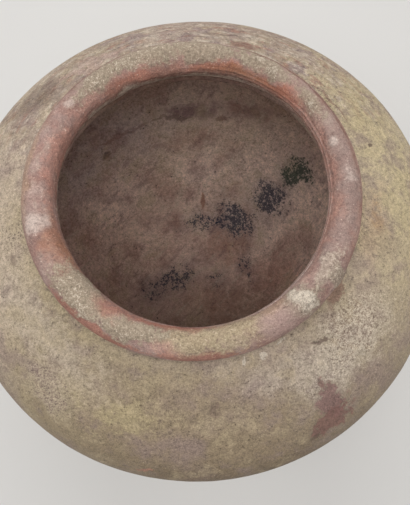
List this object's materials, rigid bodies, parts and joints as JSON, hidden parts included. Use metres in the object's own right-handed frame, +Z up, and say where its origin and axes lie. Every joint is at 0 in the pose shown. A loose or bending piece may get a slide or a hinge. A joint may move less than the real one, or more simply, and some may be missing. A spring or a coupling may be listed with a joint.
{
  "type": "glazed terracotta vase",
  "caption": "Globular wide-mouthed terracotta jar with a thick rolled lip on a low shoulder, a tapering lower wall, a flat base and worn olive glaze.",
  "frame": {"origin": "centre of the flat underside", "axes": "+Z up along the jar's turning axis, +Y away from the side that faces the picture's camera"},
  "size_m": [0.259, 0.259, 0.2],
  "materials": {
    "vase": "worn matt olive-buff glaze over red terracotta"
  },
  "bodies": {
    "root": {"vase": "vase"}
  },
  "joints": []
}
